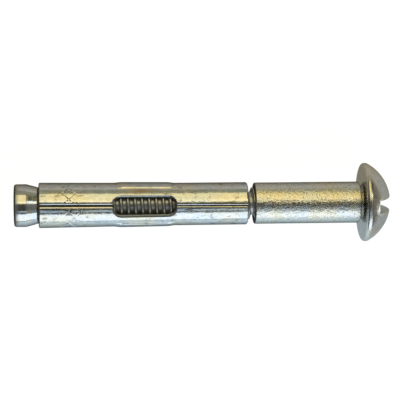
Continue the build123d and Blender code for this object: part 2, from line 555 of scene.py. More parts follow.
def score_tree():
    """Presses two crossing families of lines into the outside of a rolled blank."""
    inputs = {
        GEOMETRY: ["Geometry"],
        NUMBER: [
            "Spacing", "Rising Phase", "Falling Phase", "Start", "End", "Fade", "Depth", "Half Width",
        ],
        MATERIAL: ["Material"],
    }
    nodes, given, result = new_group("score_lines", "GeometryNodeTree", inputs, {GEOMETRY: ["Geometry"]})
    along, around, outer = (
        nodes.field("GeometryNodeInputNamedAttribute", "Attribute", {"Name": name}, data_type="FLOAT")
        for name in BLANK_MARKS
    )

    def from_line(place, phase):
        """Distance from the nearest line of a family that runs at 45 degrees."""
        off = nodes.math("FRACT", place / given["Spacing"] - given[phase] + 0.5) - 0.5
        return nodes.math("ABSOLUTE", off) * given["Spacing"] * math.sqrt(0.5)

    rising = from_line(along + around, "Rising Phase")
    falling = from_line(along - around, "Falling Phase")
    gap = nodes.math("MINIMUM", rising, falling)
    groove = nodes.ramp(gap, 0.0, given["Half Width"], 1.0, 0.0, smooth=True)
    begin = nodes.ramp(along, given["Start"], given["Start"] + given["Fade"])
    finish = nodes.ramp(along, given["End"] - given["Fade"], given["End"], 1.0, 0.0)
    position = nodes.add("GeometryNodeInputPosition")
    unevenness = nodes.noise(position, STRIKE_SCALE, detail=1.0)
    strike = nodes.ramp(unevenness, *STRIKE_RANGE, LIGHTEST_STRIKE, 1.0)
    pressed = groove * strike * (begin * finish) * outer
    _, y, z = nodes.split(position)
    from_axis = nodes.add("ShaderNodeCombineXYZ", {"Y": y, "Z": z})
    outward = nodes.add("ShaderNodeVectorMath", {0: from_axis}, operation="NORMALIZE")
    depth = pressed * given["Depth"] * -1.0
    offset = nodes.add("ShaderNodeVectorMath", {0: outward, "Scale": depth}, operation="SCALE")
    moved = nodes.add("GeometryNodeSetPosition", {"Geometry": given["Geometry"], "Offset": offset})
    end_tree(nodes, moved, given["Material"], result)
    return nodes.tree


# Ranges of the noise over which patches, grain and specks come up.
STRAW_RANGE = (0.42, 0.68)
BLUE_RANGE = (0.36, 0.58)
GRAIN_RANGE = (0.3, 0.7)
SPECK_RANGE = (0.59, 0.69)
# How far the grain darkens the plating, and how much rougher and deeper a speck lies.
GRAIN_SHADE = 0.22
SPECK_DULLNESS = 0.2
SPECK_DEPTH = 0.5
BLACK = (0.0, 0.0, 0.0, 1.0)
# Light that grazes the plating turns slightly yellow: its blue keeps this share.
GRAZING_BLUE = 0.9


def zinc_plating(name):
    """Zinc plating: a mottled colour, roughness that varies with it, and a fine grain."""
    inputs = {
        VECTOR: ["Vector"],
        COLOUR: ["Zinc", "Straw", "Blue", "Speck"],
        NUMBER: [
            "Patch Scale", "Patch Amount", "Grain Scale", "Speck Scale", "Speck Amount", "Roughness",
            "Roughness Spread",
        ],
    }
    outputs = {COLOUR: ["Color"], NUMBER: ["Roughness", "Height"]}
    nodes, given, result = new_group(name, "ShaderNodeTree", inputs, outputs)
    patch = nodes.noise(given["Vector"], given["Patch Scale"], detail=4.0)
    straw = nodes.ramp(patch, *STRAW_RANGE, smooth=True) * given["Patch Amount"]
    blue = nodes.ramp(patch, *BLUE_RANGE, 1.0, 0.0, smooth=True) * given["Patch Amount"]
    tint = nodes.blend(straw, given["Zinc"], given["Straw"])
    tint = nodes.blend(blue, tint, given["Blue"])
    grain = nodes.noise(given["Vector"], given["Grain Scale"], detail=3.0, roughness=0.6)
    tint = nodes.blend(nodes.ramp(grain, *GRAIN_RANGE, GRAIN_SHADE, 0.0), tint, BLACK)
    fleck = nodes.noise(given["Vector"], given["Speck Scale"], detail=2.0, roughness=0.7)
    speck = nodes.ramp(fleck, *SPECK_RANGE) * given["Speck Amount"]
    spread = (grain - 0.5) * given["Roughness Spread"]
    nodes.feed(result["Color"], nodes.blend(speck, tint, given["Speck"]))
    nodes.feed(result["Roughness"], given["Roughness"] + spread + speck * SPECK_DULLNESS)
    nodes.feed(result["Height"], grain - speck * SPECK_DEPTH)
    return nodes.tree


def grime_and_painted_shade(name):
    """Oil, dust, stains and painted shade that darken and dull where a mask says."""
    inputs = {
        COLOUR: ["Color", "Grime And Shade"],
        NUMBER: ["Roughness", "Metallic", "Recess", "Amount", "Dullness"],
    }
    outputs = {COLOUR: ["Color"], NUMBER: ["Roughness", "Metallic"]}
    nodes, given, result = new_group(name, "ShaderNodeTree", inputs, outputs)
    share = given["Recess"] * given["Amount"]
    nodes.feed(result["Color"], nodes.blend(share, given["Color"], given["Grime And Shade"]))
    nodes.feed(result["Roughness"], given["Roughness"] + given["Recess"] * given["Dullness"])
    nodes.feed(result["Metallic"], given["Metallic"] * (1.0 - share))
    return nodes.tree


# How the plating of each piece looks; scales are in cycles per metre.
BOLT_LOOK = {
    "Patch Scale": 260.0,
    "Patch Amount": 0.4,
    "Grain Scale": 1500.0,
    "Speck Scale": 2200.0,
    "Speck Amount": 0.25,
    "Roughness": 0.26,
    "Roughness Spread": 0.15,
}
NUT_LOOK = {
    "Patch Scale": 700.0,
    "Patch Amount": 0.5,
    "Grain Scale": 1500.0,
    "Speck Scale": 1500.0,
    "Speck Amount": 0.35,
    "Roughness": 0.14,
    "Roughness Spread": 0.12,
}
SLEEVE_LOOK = {
    "Patch Scale": 330.0,
    "Patch Amount": 0.5,
    "Grain Scale": 1700.0,
    "Speck Scale": 1500.0,
    "Speck Amount": 0.5,
    "Roughness": 0.17,
    "Roughness Spread": 0.15,
}
SPACER_LOOK = {
    "Patch Scale": 420.0,
    "Patch Amount": 0.35,
    "Grain Scale": 3100.0,
    "Speck Scale": 2400.0,
    "Speck Amount": 0.35,
    "Roughness": 0.18,
    "Roughness Spread": 0.2,
}


def plated(name, look, matrix, grime_and_shade, bump, packing=1.0, metal=1.0, edge=0.2, zinc=None, straw=None):
    """
    A plated-steel material. The layer list gives (attribute, amount, dullness, colour) of each layer over
    the plating: stains, oil and dust, bare cut faces, and painted shade on edges. Bump is the height of
    the grain, packing is how close it lies along the axis compared with around it, and edge is how
    bright light is that grazes the surface.
    """
    colours = bpy.context.scene.anchor_colours
    material = bpy.data.materials.new(name)
    material.use_nodes = True
    nodes = Nodes(material.node_tree)
    shader = material.node_tree.nodes["Principled BSDF"]
    lie = nodes.add("ShaderNodeMapping", {
        "Vector": nodes.add("ShaderNodeTexCoord").outputs["Object"],
        "Rotation": matrix.to_3x3().inverted().to_euler(),
        "Scale": (packing, 1.0, 1.0),
    })
    values = {
        "Vector": lie,
        "Zinc": (*(zinc or colours.zinc), 1.0),
        "Straw": (*(straw or colours.straw), 1.0),
        "Blue": (*colours.blue, 1.0),
        "Speck": (*colours.speck, 1.0),
        **look,
    }
    plating = nodes.add("ShaderNodeGroup", values, node_tree=shared_group("zinc_plating", zinc_plating))
    finish = {
        "Color": plating.outputs["Color"],
        "Roughness": plating.outputs["Roughness"],
        "Metallic": metal,
    }
    for attribute, amount, dullness, layer_colour in grime_and_shade:
        values = {
            **finish,
            "Recess": nodes.field("ShaderNodeAttribute", "Fac", attribute_name=attribute),
            "Amount": amount,
            "Dullness": dullness,
            "Grime And Shade": (*layer_colour, 1.0),
        }
        darkened = nodes.add("ShaderNodeGroup", values, node_tree=shared_group("grime_and_painted_shade", grime_and_painted_shade))
        finish = {socket.name: socket for socket in darkened.outputs}
    nodes.feed(shader.inputs["Base Color"], finish["Color"])
    nodes.feed(shader.inputs["Roughness"], finish["Roughness"])
    nodes.feed(shader.inputs["Metallic"], finish["Metallic"])
    shader.inputs["Specular Tint"].default_value = (edge, edge, GRAZING_BLUE * edge, 1.0)
    relief = {"Height": plating.outputs["Height"], "Strength": 1.0, "Distance": bump}
    nodes.feed(shader.inputs["Normal"], nodes.add("ShaderNodeBump", relief))
    return material


def dome_station(sizes, radius):
    """Station of the head's top at a distance from the axis: the dome, and the rounding that ends it."""
    rim = sizes.head_diameter / 2
    rise = sizes.head_height - sizes.head_land
    ball = (rim**2 + rise**2) / (2 * rise)
    centre = sizes.bearing_face + sizes.head_height - ball
    round_radius = rim - sizes.dome_round
    round_centre = centre + math.sqrt((ball - sizes.dome_round) ** 2 - round_radius**2)
    meet = round_radius * ball / (ball - sizes.dome_round)
    cap = centre + np.sqrt(np.maximum(ball**2 - radius**2, 0))
    side = round_centre + np.sqrt(np.maximum(sizes.dome_round**2 - (radius - round_radius) ** 2, 0))
    return np.where(radius < meet, cap, side)


class Slot:
    """The driver slot seen from above the head: u runs along it and v across it."""

    # Radii at which the dome is tried for the slot's ends, and points along such an end.
    TRIES = 2000
    END_POINTS = 9
    # Rows of points beside a lip, as shares of its rounding.
    LIP_SHARES = (0.07, 0.25, 0.55, 1.0)
    # Rings of points next to the rim, as shares of its radius; further in they
    # stand this share of a step apart.
    RIM_SHARES = (0.9995, 0.997, 0.991, 0.98)
    RING_SPACING = 0.7
    FEWEST_IN_RING = 6

    def __init__(self, sizes):
        self.rim = sizes.head_diameter / 2
        self.half = sizes.slot_width / 2
        self.lip = sizes.slot_lip
        self.turn = math.pi / 2 + sizes.slot_turn
        self.floor = sizes.bearing_face + sizes.head_height - sizes.slot_depth
        radii = np.linspace(0, self.rim, self.TRIES)
        self.radius = radii[np.argmax(dome_station(sizes, radii) < self.floor)]
        self.reach = math.sqrt(self.radius**2 - self.half**2)
        self.step = math.tau * self.rim / SEGMENTS

    def stops(self, reach):
        """Places along the slot, half a step apart, out to a reach both ways."""
        return np.linspace(-reach, reach, 2 * round(reach / (self.step / 2)) + 1)

    def ring(self, radius, count):
        """Points round the head, turned with the slot."""
        angles = [math.tau * k / count - self.turn for k in range(count)]
        return [(radius * math.cos(a), radius * math.sin(a)) for a in angles]

    def outline(self):
        """Points round the slot's floor: its two walls, and an arc where each end leaves the dome."""
        bend = math.asin(self.half / self.radius)
        angles = np.linspace(-bend, bend, self.END_POINTS)[1:-1]
        end = [(self.radius * math.cos(a), self.radius * math.sin(a)) for a in angles]
        stops = self.stops(self.reach)
        points = [(u, -self.half) for u in stops] + end
        return points + [(u, self.half) for u in stops[::-1]] + [(-u, -v) for u, v in end]

    def surroundings(self):
        """Points over the dome and the slot's floor: rows along the lips, and rings clear of them."""
        points = []
        for share in self.LIP_SHARES:
            side = self.half + self.lip * share
            end = math.sqrt((self.rim - 3 * self.step / 4) ** 2 - side**2)
            for u in self.stops(end):
                points += [(u, side), (u, -side)]
        inner = self.rim - self.step
        radii = [self.rim * share for share in self.RIM_SHARES]
        radii += list(np.arange(inner, self.step / 2, -self.step * self.RING_SPACING))
        for radius in radii:
            full = max(self.FEWEST_IN_RING, round(math.tau * radius / self.step))
            for u, v in self.ring(radius, SEGMENTS if radius > inner else full):
                beside_lip = -self.step / 3 < abs(v) - self.half < self.lip + self.step / 3
                at_end = abs(radius - self.radius) < self.step / 4 and abs(v) < self.half
                if not at_end and not (beside_lip and abs(u) < inner):
                    points.append((u, v))
        return points


class ANCHOR_OT_make_bolt(bpy.types.Operator):
    """Makes the slotted round-head screw with its rolled thread"""

    bl_idname = "anchor.make_bolt"
    bl_label = "Make Bolt"

    # Rings in the screw's end: each one's share of its radius, and how deep it lies.
    TIP_CENTRE = ((0.7, 0.0), (0.35, 0.05 * MM), (0.12, 0.1 * MM))

    def execute(self, context):
        sizes = context.scene.anchor_bolt
        matrix = placement(sizes)
        # The threaded length darkens: partly real oil and dust, partly painted shade for the thread deep
        # in the sleeve's window.
        grime_and_shade = [("threaded", 0.28, 0.04, context.scene.anchor_colours.grime_and_shade)]
        material = plated("bolt_plating", BOLT_LOOK, matrix, grime_and_shade, bump=0.006 * MM, edge=0.75)
        shell = Shell()
        shell.add(*self.head_top(sizes))
        shell.add(*turned(self.head_side(sizes), closed=False))
        thread = self.thread(sizes, material)
        shell.add([vertex.co for vertex in thread.vertices], [face.vertices for face in thread.polygons])
        shell.add(*self.tip_face(thread, sizes))
        mesh = shell.mesh("bolt")
        self.mark_thread(mesh, sizes)
        install(mesh, "slotted_bolt", "bolt", "bolt", material, matrix)
        return {"FINISHED"}

    def head_top(self, sizes):
        """The dome with its slot: points across the head, triangulated with the slot's outline."""
        slot = Slot(sizes)
        half, floor, turn = slot.half, slot.floor, slot.turn
        outline = slot.outline()
        count = len(outline)
        edges = [(k, (k + 1) % SEGMENTS) for k in range(SEGMENTS)]
        edges += [(SEGMENTS + k, SEGMENTS + (k + 1) % count) for k in range(count)]
        points = slot.ring(slot.rim, SEGMENTS) + outline + slot.surroundings()
        flat, faces, found = triangulated(points, edges, ALL_ENCLOSED)

        u, v = flat.T
        radius = np.hypot(u, v)
        dome = dome_station(sizes, radius)
        in_slot = (np.abs(v) < half - MERGE_DISTANCE) & (radius < slot.radius - MERGE_DISTANCE)
        on_wall = (np.abs(np.abs(v) - half) < MERGE_DISTANCE) & (np.abs(u) < slot.reach - MERGE_DISTANCE)
        drop = edge_drop(np.maximum(np.abs(v) - half, 0), slot.lip)
        drop = np.minimum(drop, np.maximum(dome - floor, 0))
        height = np.where(in_slot, floor, dome - drop)
        y = u * math.cos(turn) - v * math.sin(turn)
        z = u * math.sin(turn) + v * math.cos(turn)
        points = list(zip(height, y, z))
        below = {}
        for index in np.flatnonzero(on_wall):
            below[index] = len(points)
            points.append((floor, y[index], z[index]))

        result = []
        for face in faces:
            middle = np.mean([flat[corner] for corner in face], axis=0)
            sunk = abs(middle[1]) < half and np.hypot(*middle) < slot.radius
            result.append([below.get(corner, corner) for corner in face] if sunk else list(face))
        for k in range(count):
            first, last = found[SEGMENTS + k], found[SEGMENTS + (k + 1) % count]
            wall = [first, last, below.get(last, last), below.get(first, first)]
            corners = list(dict.fromkeys(wall))
            if len(corners) > 2:
                result.append(corners)
        return points, result

    def head_side(self, sizes):
        """The head's rim, its bearing face and the fillet down to the thread."""
        rim = sizes.head_diameter / 2
        shank = sizes.thread_diameter / 2
        face = sizes.bearing_face
        corners = [
            (float(dome_station(sizes, np.array(rim))), rim, 0),
            (face, rim, sizes.edge_round),
            (face, shank, sizes.fillet),
            (face - sizes.fillet, shank, 0),
        ]
        return rounded(corners, FINE_ARC)

    def thread(self, sizes, material):
        """The threaded shank, wound by its node tree."""
        end = sizes.bearing_face - sizes.fillet
        values = {
            "Start": sizes.tip,
            "End": end,
            "Pitch": sizes.pitch,
            "Start Turn": sizes.thread_turn / math.tau,
            "Crest Radius": sizes.thread_diameter / 2,
            "Root Radius": sizes.root_diameter / 2,
            "Tip Radius": sizes.thread_diameter / 2 - sizes.tip_chamfer,
            "Crest Share": sizes.crest_share,
            "Flank Share": sizes.flank_share,
            "Run-out": sizes.run_out,
            "Columns": SEGMENTS,
            "Turns": math.ceil((end - sizes.tip) / sizes.pitch) + SPARE_TURNS + 1,
            "Rows per Turn": ROWS_PER_TURN,
            "Material": material,
        }
        return node_mesh(bpy.data.meshes.new("thread"), thread_tree(), values)

    def tip_face(self, thread, sizes):
        """Closes the screw's end with a shallow centre."""
        points = coordinates(thread)
        ring = points[np.abs(points[:, 0] - sizes.tip) < MERGE_DISTANCE]
        ring = ring[np.argsort(np.arctan2(ring[:, 2], ring[:, 1]))]
        count = len(ring)
        rows = [ring]
        for share, dip in self.TIP_CENTRE:
            rows.append(np.column_stack([np.full(count, sizes.tip + dip), ring[:, 1:] * share]))
        faces = ring_faces(len(rows), count)
        faces.append([(len(rows) - 1) * count + k for k in range(count)])
        return np.vstack(rows), faces

    def mark_thread(self, mesh, sizes):
        """Marks the threaded length, which is darkened and dulled: partly oil and dust, partly painted
        shade for the thread seen in the sleeve's window and gaps.
        """
        along = coordinates(mesh)[:, 0]
        end = sizes.bearing_face - sizes.fillet
        store(mesh, "threaded", (along > sizes.tip + sizes.tip_chamfer) & (along < end - MERGE_DISTANCE))


class ANCHOR_OT_make_cone_nut(bpy.types.Operator):
    """Makes the threaded cone that spreads the sleeve"""

    bl_idname = "anchor.make_cone_nut"
    bl_label = "Make Cone Nut"

    LONGEST_RUN = 0.5 * MM
    # How far the painted shade on the face's edge is full and how far it reaches, as shares of the
    # rounding.
    EDGE_SHADE_SHARES = (0.6, 1.2667)

    def execute(self, context):
        sizes = context.scene.anchor_nut
        matrix = placement(context.scene.anchor_bolt)
        grime_and_shade = [("painted_edge_shade", 0.9, 0.3, context.scene.anchor_colours.grime_and_shade)]
        material = plated("nut_plating", NUT_LOOK, matrix, grime_and_shade, bump=0.008 * MM, packing=1.6)
        rim, neck, bore = sizes.diameter / 2, sizes.neck_diameter / 2, sizes.bore_diameter / 2
        corners = [
            (0, bore + sizes.bore_chamfer, 0),
            (0, rim, sizes.face_round),
            (sizes.rim_length, rim, sizes.edge_round),
            (sizes.cone_end, neck, 0),
            (sizes.neck_end, neck, 0),
            (sizes.neck_end, bore, 0),
            (sizes.bore_chamfer, bore, 0),
        ]
        mesh = turned_mesh("cone_nut", corners, self.LONGEST_RUN)
        # Painted shade: the face and its rounded edge darken and dull, fading out past the rounding.
        darkened, unshaded = (share * sizes.face_round for share in self.EDGE_SHADE_SHARES)
        store(mesh, "painted_edge_shade", fading(coordinates(mesh)[:, 0], darkened, unshaded))
        install(mesh, "expander_cone_nut", "cone_nut", "nut", material, matrix)
        return {"FINISHED"}


class ANCHOR_OT_make_spacer_sleeve(bpy.types.Operator):
    """Makes the plain tube under the head"""

    bl_idname = "anchor.make_spacer_sleeve"
    bl_label = "Make Spacer Sleeve"

    LONGEST_RUN = 0.8 * MM

    def execute(self, context):
        sizes = context.scene.anchor_spacer
        colours = context.scene.anchor_colours
        matrix = placement(context.scene.anchor_bolt)
        grime_and_shade = [("painted_edge_shade", 0.95, 0.6, colours.grime_and_shade)]
        material = plated(
            "spacer_plating", SPACER_LOOK, matrix, grime_and_shade, bump=0.07 * MM, packing=0.8, metal=0.95,
            zinc=colours.spacer_zinc, straw=colours.spacer_straw,
        )
        outer = sizes.diameter / 2
        bore = outer - sizes.wall
        corners = [
            (sizes.start, bore, sizes.end_round),
            (sizes.start, outer, sizes.start_round),
            (sizes.end, outer, sizes.end_round),
            (sizes.end, bore, sizes.end_round),
        ]
        mesh = turned_mesh("spacer_sleeve", corners, self.LONGEST_RUN)
        along = coordinates(mesh)[:, 0] - sizes.start
        # Painted shade: the edge towards the split sleeve darkens and dulls where it faces the gap between
        # the two.
        store(mesh, "painted_edge_shade", fading(along, sizes.start_round / 3, sizes.start_round))
        install(mesh, "spacer_tube", "spacer_sleeve", "spacer", material, matrix)
        return {"FINISHED"}


class ANCHOR_OT_make_expansion_sleeve(bpy.types.Operator):
    """Makes the split sleeve: a flat blank, cut, rolled and scored"""

    bl_idname = "anchor.make_expansion_sleeve"
    bl_label = "Make Expansion Sleeve"

    # Spacing of the points along the outline, then along and round the outside and the bore.
    OUTLINE_STEP = 0.2 * MM
    OUTER_STEPS = (0.3 * MM, 0.25 * MM)
    BORE_STEPS = (0.7 * MM, 0.35 * MM)
    # Rows that follow an edge, as shares of its rounding, and how near to the
    # outline a row may come, as a share of its own distance.
    EDGE_SHARES = (0.05, 0.2, 0.45, 0.75, 1.0, 1.3)
    EDGE_SLACK = 0.93
    # The other points stay this many roundings away from an edge.
    CLEAR_OF_EDGE = 1.5
    # Rows along a pad's side, as shares of its step, and how far other points stay off them.
    PAD_SHARES = (-0.75, -0.5, -0.25, 0, 0.25, 0.5, 0.75)
    CLEAR_OF_ROW = 0.1 * MM
    # Rows along a score line, as shares of its half width, and between two lines,
    # as shares of their spacing.
    LINE_SHARES = (-1.2, -0.6, 0, 0.6, 1.2)
    BETWEEN_SHARES = (0.25, 0.42, 0.58, 0.75)
    # Up to here from the seam an edge is the seam's lip. Over the next stretch it
    # takes on the rounding of the window's side.
    LIP_END = 0.6 * MM
    LIP_BLEND = 0.7 * MM
    # Painted shade on a cut edge reaches over this share of its rounding, and at least so
    # far. Up to a share of that reach it is full.
    EDGE_SHADE_SHARE = 0.4
    LEAST_EDGE_SHADE = 0.07 * MM
    FULL_EDGE_SHADE = 0.375
    # Points are measured against the outline in lots of about this many.
    LOT = 2000

    def execute(self, context):
        sizes = context.scene.anchor_sleeve
        score = context.scene.anchor_score
        colours = context.scene.anchor_colours
        matrix = placement(context.scene.anchor_bolt)
        # Over the plating: a real brown stain, the bare cut face, and painted shade on the cut edges.
        grime_and_shade = [
            ("stain", 0.75, 0.1, colours.stain),
            ("raw_cut", 0.8, 0.4, colours.raw),
            ("painted_edge_shade", 0.9, 0.3, colours.grime_and_shade),
        ]
        material = plated("sleeve_plating", SLEEVE_LOOK, matrix, grime_and_shade, bump=0.018 * MM, packing=0.6)
        spacing = math.pi * sizes.diameter / score.lines
        values = {
            "Spacing": spacing,
            "Rising Phase": score.rising_phase,
            "Falling Phase": score.falling_phase,
            "Start": score.start,
            "End": score.end,
            "Fade": score.fade,
            "Depth": score.depth,
            "Half Width": score.half_width,
            "Material": material,
        }
        mesh = node_mesh(self.rolled_mesh(sizes, score, spacing), score_tree(), values)
        close_mesh(mesh)
        for name in BLANK_MARKS:
            mesh.attributes.remove(mesh.attributes[name])
        install(mesh, "split_expansion_sleeve", "expansion_sleeve", "sleeve", material, matrix)
        return {"FINISHED"}

    def long_edge(self, sizes, half_angle, hand):
        """One long edge of the blank from mouth to rear end: the seam, and the half window cut into it."""
        side = half_angle * sizes.diameter / 2
        ends, drifts = (sizes.start, sizes.end), (sizes.mouth_drift, sizes.end_drift)
        start, first, last, end = (
            gap / 2 + hand * float(np.interp(x, ends, drifts))
            for x, gap in (
                (sizes.start, sizes.mouth_gap),
                (sizes.window_start, sizes.mouth_gap),
                (sizes.window_end, sizes.end_gap),
                (sizes.end, sizes.end_gap),
            )
        )
        corners = [
            (sizes.start, start, 0),
            (sizes.window_start, first, sizes.tongue_corner),
            (sizes.window_start, side, sizes.window_corner),
            (sizes.window_end, side, sizes.window_corner),
            (sizes.window_end, last, sizes.tongue_corner),
            (sizes.end, end, 0),
        ]
        return refined(rounded(corners, FINE_ARC), self.OUTLINE_STEP)

    def outline(self, sizes):
        """Outline of the flat blank as (along, around) points, with each point's edge rounding."""
        girth = math.pi * sizes.diameter
        near = self.long_edge(sizes, sizes.left_half_angle, 1)
        far = self.long_edge(sizes, sizes.right_half_angle, -1)
        far = [Vector((point.x, girth - point.y)) for point in reversed(far)]
        rear = refined([near[-1], far[0]], self.OUTLINE_STEP)[1:-1]
        mouth = refined([far[-1], near[0]], self.OUTLINE_STEP)[1:-1]
        outline = np.array(near + rear + far + mouth)
        along, around = outline.T
        left = around < girth / 2
        lip = np.where(left, sizes.left_lip_round, sizes.right_lip_round)
        lip *= np.where(along < sizes.window_end - sizes.window_corner, 1, sizes.rear_lip_share)
        window = np.where(left, sizes.left_window_round, sizes.right_window_round)
        from_seam = np.minimum(around, girth - around)
        roundings = lip + np.clip((from_seam - self.LIP_END) / self.LIP_BLEND, 0, 1) * (window - lip)
        roundings[len(near):len(near) + len(rear)] = sizes.end_round
        roundings[len(outline) - len(mouth):] = sizes.mouth_round
        return outline, roundings

    def measure(self, points, outline):
        """Each point's distance from the outline, its nearest outline point and whether it lies inside."""
        ends = np.roll(outline, -1, axis=0)
        runs = ends - outline
        distance, nearest, inside = [], [], []
        for some in np.array_split(points, max(1, len(points) // self.LOT)):
            offset = some[:, None] - outline
            share = np.clip((offset * runs).sum(2) / (runs**2).sum(1), 0, 1)
            gaps = np.linalg.norm(offset - share[..., None] * runs, axis=2)
            nearest.append(gaps.argmin(1))
            distance.append(gaps.min(1))
            straddles = (outline[:, 1] > some[:, 1:]) != (ends[:, 1] > some[:, 1:])
            slope = np.where(runs[:, 1] == 0, 1, runs[:, 1])
            crossing = outline[:, 0] + (some[:, 1:] - outline[:, 1]) * runs[:, 0] / slope
            inside.append((straddles & (some[:, :1] < crossing)).sum(1) % 2 == 1)
        return np.concatenate(distance), np.concatenate(nearest), np.concatenate(inside)

    def edge_rows(self, outline, roundings):
        """Rows of points that follow the outline through its rounding."""
        run = np.roll(outline, -1, axis=0) - np.roll(outline, 1, axis=0)
        inward = np.column_stack([-run[:, 1], run[:, 0]]) / np.linalg.norm(run, axis=1)[:, None]
        rows = []
        for share in self.EDGE_SHARES:
            row = outline + inward * (roundings * share)[:, None]
            distance, _, inside = self.measure(row, outline)
            rows.append(row[inside & (distance > self.EDGE_SLACK * roundings * share)])
        return np.vstack(rows)

    def plain_points(self, sizes, score):
        """Points over the blank before and behind the score lines, closer along the pads' sides."""
        girth = math.pi * sizes.diameter
        radius = sizes.diameter / 2
        along_step, around_step = self.OUTER_STEPS
        pads = [sizes.pad_from_seam * radius, (sizes.pad_from_seam + sizes.pad_arc) * radius]
        pads += [girth - pad for pad in pads]
        close = [pad + share * sizes.pad_edge for pad in pads for share in self.PAD_SHARES]
        even = np.arange(0, girth, around_step)
        around = [w for w in even if min(abs(w - c) for c in close) > self.CLEAR_OF_ROW]
        along = np.arange(sizes.start, sizes.end, along_step)
        points = np.array([(x, w) for x in along for w in sorted(around + close)])
        before = points[:, 0] < score.start - self.CLEAR_OF_ROW
        behind = points[:, 0] > score.end + self.CLEAR_OF_ROW
        return points[before | behind]

    def crossed_points(self, sizes, score, spacing):
        """Points lined up with both families of score lines."""
        girth = math.pi * sizes.diameter
        steps = [share * score.half_width * math.sqrt(2) for share in self.LINE_SHARES]
        steps += [share * spacing for share in self.BETWEEN_SHARES]
        reach = math.ceil((score.end + girth) / spacing) + 1
        rising, falling = (
            [(k + phase) * spacing + step for k in range(-reach, reach) for step in steps]
            for phase in (score.rising_phase, score.falling_phase)
        )
        points = np.array([((p + q) / 2, (p - q) / 2) for p in rising for q in falling])
        along, around = points.T
        return points[(along > score.start) & (along < score.end) & (around > 0) & (around < girth)]

    def outer_points(self, sizes, score, spacing, outline, roundings):
        """Points over the outside: rows through the rounded edges, and the others clear of them."""
        points = np.vstack([self.plain_points(sizes, score), self.crossed_points(sizes, score, spacing)])
        distance, nearest, inside = self.measure(points, outline)
        clear = inside & (distance > self.CLEAR_OF_EDGE * roundings[nearest])
        return np.vstack([self.edge_rows(outline, roundings), points[clear]])

    def bore_points(self, sizes, outline):
        """Points over the bore, which is plain and needs few."""
        along_step, around_step = self.BORE_STEPS
        around = np.arange(0, math.pi * sizes.diameter, around_step)
        points = np.array([(x, w) for x in np.arange(sizes.start, sizes.end, along_step) for w in around])
        distance, _, inside = self.measure(points, outline)
        return points[inside & (distance > self.OUTLINE_STEP)]

    def outer_radius(self, sizes, along, around):
        """Radius of the rolled sleeve before its edges are rounded: its flare and its pads."""
        radius, mouth = sizes.diameter / 2, sizes.mouth_diameter / 2
        flare = np.clip((sizes.window_end - along) / (sizes.window_end - sizes.start), 0, 1)
        middle = (sizes.window_start + sizes.window_end) / 2
        girth = math.pi * sizes.diameter
        from_seam = np.minimum(around, girth - around)
        centre = (sizes.pad_from_seam + sizes.pad_arc / 2) * radius
        from_end = sizes.pad_length / 2 - np.abs(along - middle)
        from_side = sizes.pad_arc / 2 * radius - np.abs(from_seam - centre)
        ends = np.clip(from_end / sizes.pad_ramp, 0, 1)
        sides = np.clip(from_side / sizes.pad_edge + 0.5, 0, 1)
        lift = ends * sides * (1 + sides * (3 - 2 * sides)) / 2
        back = np.clip((from_seam - centre) / (sizes.pad_arc * radius) + 0.5, 0, 1)
        height = sizes.pad_height + back * (sizes.pad_back_height - sizes.pad_height)
        return radius + flare * (mouth - radius) + lift * height

    def skin(self, points, outline):
        """Triangles over the blank, and where each outline point is found among their corners."""
        count = len(outline)
        edges = [(k, (k + 1) % count) for k in range(count)]
        flat, faces, found = triangulated(np.vstack([outline, points]), edges, ALL_SPANNED)
        faces = np.array(faces)
        _, _, inside = self.measure(flat[faces].mean(axis=1), outline)
        return flat, faces[inside].tolist(), np.array([found[k] for k in range(count)])

    def rolled_mesh(self, sizes, score, spacing):
        """Outside, inside and cut edges of the blank, rolled about the axis."""
        outline, roundings = self.outline(sizes)
        points = self.outer_points(sizes, score, spacing, outline, roundings)
        outer, outer_faces, outer_edge = self.skin(points, outline)
        inner, inner_faces, inner_edge = self.skin(self.bore_points(sizes, outline), outline)
        shift = len(outer)
        inner_edge = inner_edge + shift
        distance, nearest, _ = self.measure(outer, outline)
        radius = self.outer_radius(sizes, *outer.T) - edge_drop(distance, roundings[nearest])
        bore = self.outer_radius(sizes, inner[:, 0], np.zeros(len(inner))) - sizes.sheet
        blank = np.vstack([outer, inner])
        radius = np.concatenate([radius, bore])
        turn = blank[:, 1] / (sizes.diameter / 2)
        rolled = np.column_stack([blank[:, 0], radius * np.sin(turn), radius * np.cos(turn)])
        faces = outer_faces + [[shift + corner for corner in face] for face in inner_faces]
        walls = (outer_edge, np.roll(outer_edge, -1), np.roll(inner_edge, -1), inner_edge)
        faces += np.column_stack(walls).tolist()
        mesh = bpy.data.meshes.new("expansion_sleeve")
        mesh.from_pydata(rolled.tolist(), [], faces)
        for name, values in zip(BLANK_MARKS, (blank[:, 0], blank[:, 1], np.arange(len(blank)) < shift)):
            store(mesh, name, values)

